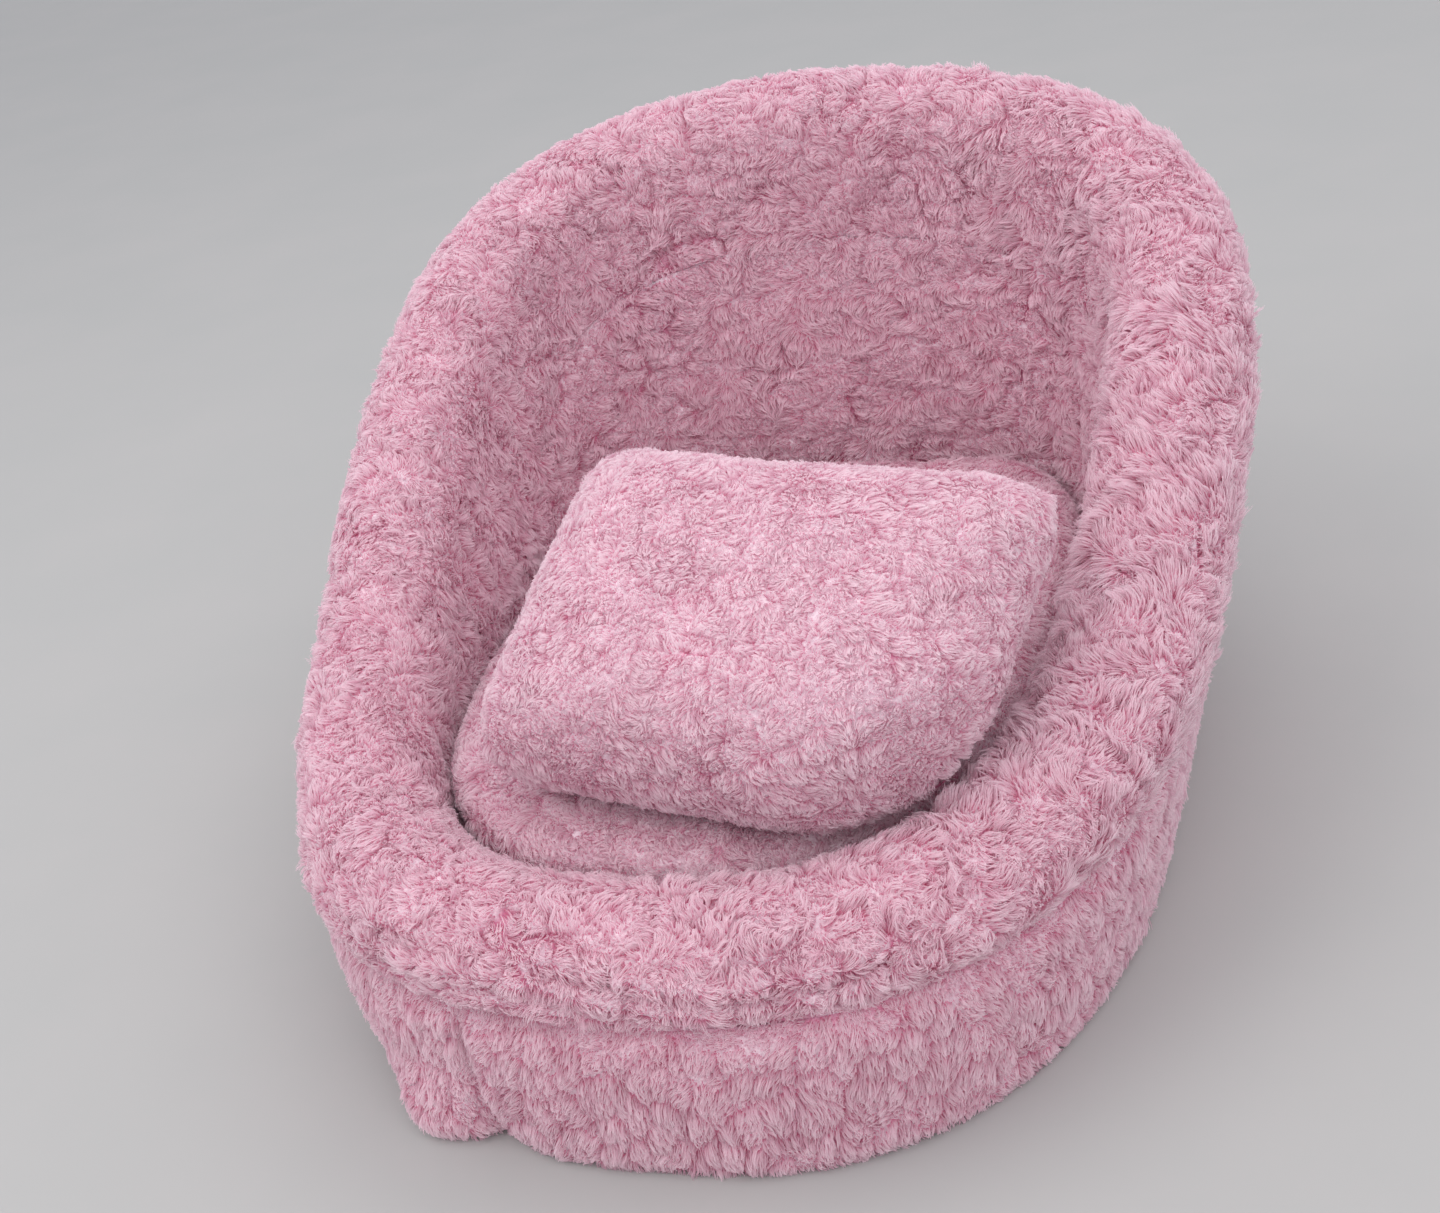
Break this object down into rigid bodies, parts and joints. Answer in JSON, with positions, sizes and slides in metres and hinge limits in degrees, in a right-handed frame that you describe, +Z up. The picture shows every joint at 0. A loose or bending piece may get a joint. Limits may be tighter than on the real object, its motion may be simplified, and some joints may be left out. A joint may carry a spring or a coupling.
{
  "type": "pet cushion bed",
  "caption": "Plush tub-shaped pet bed with a low rolled front rim, a high curved back, a loose seat cushion and a small throw pillow.",
  "frame": {"origin": "middle of the footprint, on the surface that the bed stands on", "axes": "+Z up, the open front faces -Y, +X to the right of someone facing the front"},
  "size_m": [0.3884, 0.4624, 0.2665],
  "materials": {
    "plush": "curly long-pile plush, soft and matt",
    "pillow_plush": "curly plush with a slightly paler, combed pile",
    "wall_foam": "open-cell foam",
    "base_foam": "open-cell foam",
    "fibre_fill": "loose polyester fibre",
    "lining_cloth": "plain woven cloth",
    "non_slip_cloth": "non-woven cloth with raised dots",
    "label_tape": "blank satin tape",
    "zip_tape": "herringbone woven tape",
    "zip_nylon": "moulded nylon",
    "zip_metal": "satin plated metal"
  },
  "bodies": {
    "shell": {"wall_foam": "wall_foam", "rim_filling": "fibre_fill", "rim_cover": "plush", "lower_band": "plush", "inner_lining": "plush", "underside_cover": "non_slip_cloth", "base_foam": "base_foam", "seat_deck": "lining_cloth", "care_label": "label_tape"},
    "seat_cushion": {"seat_foam": "base_foam", "seat_top_cover": "plush", "seat_bottom_cover": "lining_cloth", "seat_zip_tape": "zip_tape", "seat_zip_coil": "zip_nylon", "seat_zip_stops": "zip_metal"},
    "throw_pillow": {"pillow_filling": "fibre_fill", "pillow_front_cover": "pillow_plush", "pillow_back_cover": "pillow_plush", "pillow_zip_tape": "zip_tape", "pillow_zip_coil": "zip_nylon", "pillow_zip_stops": "zip_metal"},
    "seat_zip_slider": {"seat_zip_slider": "zip_metal"},
    "pillow_zip_slider": {"pillow_zip_slider": "zip_metal"},
    "pillow_zip_pull": {"pillow_zip_pull": "zip_metal"}
  },
  "joints": [
    {"name": "seat_lift", "type": "slide", "parent": "shell", "child": "seat_cushion", "axis": [0, 0, 1], "range_m": [0, 0.24]},
    {"name": "pillow_lift", "type": "slide", "parent": "seat_cushion", "child": "throw_pillow", "axis": [0, 0, 1], "range_m": [0, 0.18]},
    {"name": "seat_zip_slide", "type": "slide", "parent": "seat_cushion", "child": "seat_zip_slider", "axis": [-1, 0, 0], "range_m": [0, 0.099]},
    {"name": "pillow_zip_slide", "type": "slide", "parent": "throw_pillow", "child": "pillow_zip_slider", "axis": [-0.9781, 0.2079, 0], "range_m": [0, 0.085]},
    {"name": "pillow_pull_swing", "type": "hinge", "parent": "pillow_zip_slider", "child": "pillow_zip_pull", "pos_m": [0.08127, -0.0689, 0.12965], "axis": [0.1853, 0.8715, 0.454], "range_deg": [-80, 80]}
  ]
}
